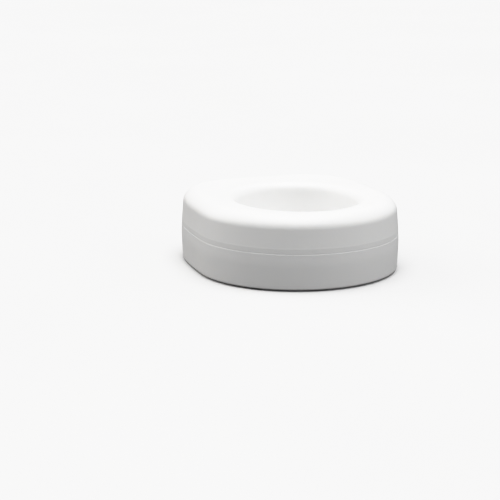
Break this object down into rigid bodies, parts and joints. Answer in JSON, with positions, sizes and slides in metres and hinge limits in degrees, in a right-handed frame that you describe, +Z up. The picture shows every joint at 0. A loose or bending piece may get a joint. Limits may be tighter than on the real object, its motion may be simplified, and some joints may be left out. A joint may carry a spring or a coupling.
{
  "type": "raised toilet seat",
  "caption": "Hollow plastic raised toilet seat: rounded ring body with an oval opening, splash guard, rubber rim pads and screw-locked side clamps that grip inside the bowl.",
  "frame": {"origin": "on the rest plane, which is the underside of the rim pads and the top of the bowl rim, on the centre plane and at the widest line of the seat", "axes": "+Z up through the opening, -Y towards the front of the toilet, +X to the right as seen from the front"},
  "size_m": [0.368, 0.4085, 0.1655],
  "materials": {
    "shell_plastic": "satin off-white moulded plastic, fine even texture",
    "base_plastic": "satin off-white moulded plastic, fine even texture",
    "seal_rubber": "matt elastomer",
    "screw_steel": "plain stainless",
    "pad_rubber": "matt grey rubber",
    "clamp_plastic": "satin off-white glass-filled plastic",
    "facing_rubber": "matt grey ribbed rubber",
    "knob_plastic": "fine-grained dark grey plastic",
    "stud_steel": "stainless thread",
    "washer_steel": "stainless, tumbled"
  },
  "bodies": {
    "seat": {"seat_top_shell": "shell_plastic", "base_shell": "base_plastic", "seam_seal": "seal_rubber", "shell_screws": "screw_steel", "rim_pad_front_left": "pad_rubber", "rim_pad_front_right": "pad_rubber", "rim_pad_rear_left": "pad_rubber", "rim_pad_rear_right": "pad_rubber", "clamp_nut_left": "stud_steel", "clamp_nut_right": "stud_steel"},
    "arm_left": {"clamp_arm_left": "clamp_plastic", "clamp_facings_left": "facing_rubber"},
    "washer_left": {"clamp_washer_left": "washer_steel"},
    "knob_left": {"clamp_knob_left": "knob_plastic", "clamp_stud_left": "stud_steel"},
    "arm_right": {"clamp_arm_right": "clamp_plastic", "clamp_facings_right": "facing_rubber"},
    "washer_right": {"clamp_washer_right": "washer_steel"},
    "knob_right": {"clamp_knob_right": "knob_plastic", "clamp_stud_right": "stud_steel"}
  },
  "joints": [
    {"name": "clamp_slide_left", "type": "slide", "parent": "seat", "child": "arm_left", "axis": [-1, 0, 0], "range_m": [0, 0.012]},
    {"name": "screw_travel_left", "type": "slide", "parent": "seat", "child": "washer_left", "axis": [0, 0, -1], "range_m": [0, 0.0025]},
    {"name": "knob_turn_left", "type": "hinge", "parent": "washer_left", "child": "knob_left", "pos_m": [-0.121, 0, -0.01], "axis": [0, 0, -1], "range_deg": [0, 720.5]},
    {"name": "clamp_slide_right", "type": "slide", "parent": "seat", "child": "arm_right", "axis": [1, 0, 0], "range_m": [0, 0.012]},
    {"name": "screw_travel_right", "type": "slide", "parent": "seat", "child": "washer_right", "axis": [0, 0, -1], "range_m": [0, 0.0025]},
    {"name": "knob_turn_right", "type": "hinge", "parent": "washer_right", "child": "knob_right", "pos_m": [0.121, 0, -0.01], "axis": [0, 0, -1], "range_deg": [0, 720.5]}
  ],
  "couplings": [
    {"joint": "knob_turn_left", "follows": "screw_travel_left", "rad_per_m": 5026.5},
    {"joint": "knob_turn_right", "follows": "screw_travel_right", "rad_per_m": 5026.5}
  ]
}
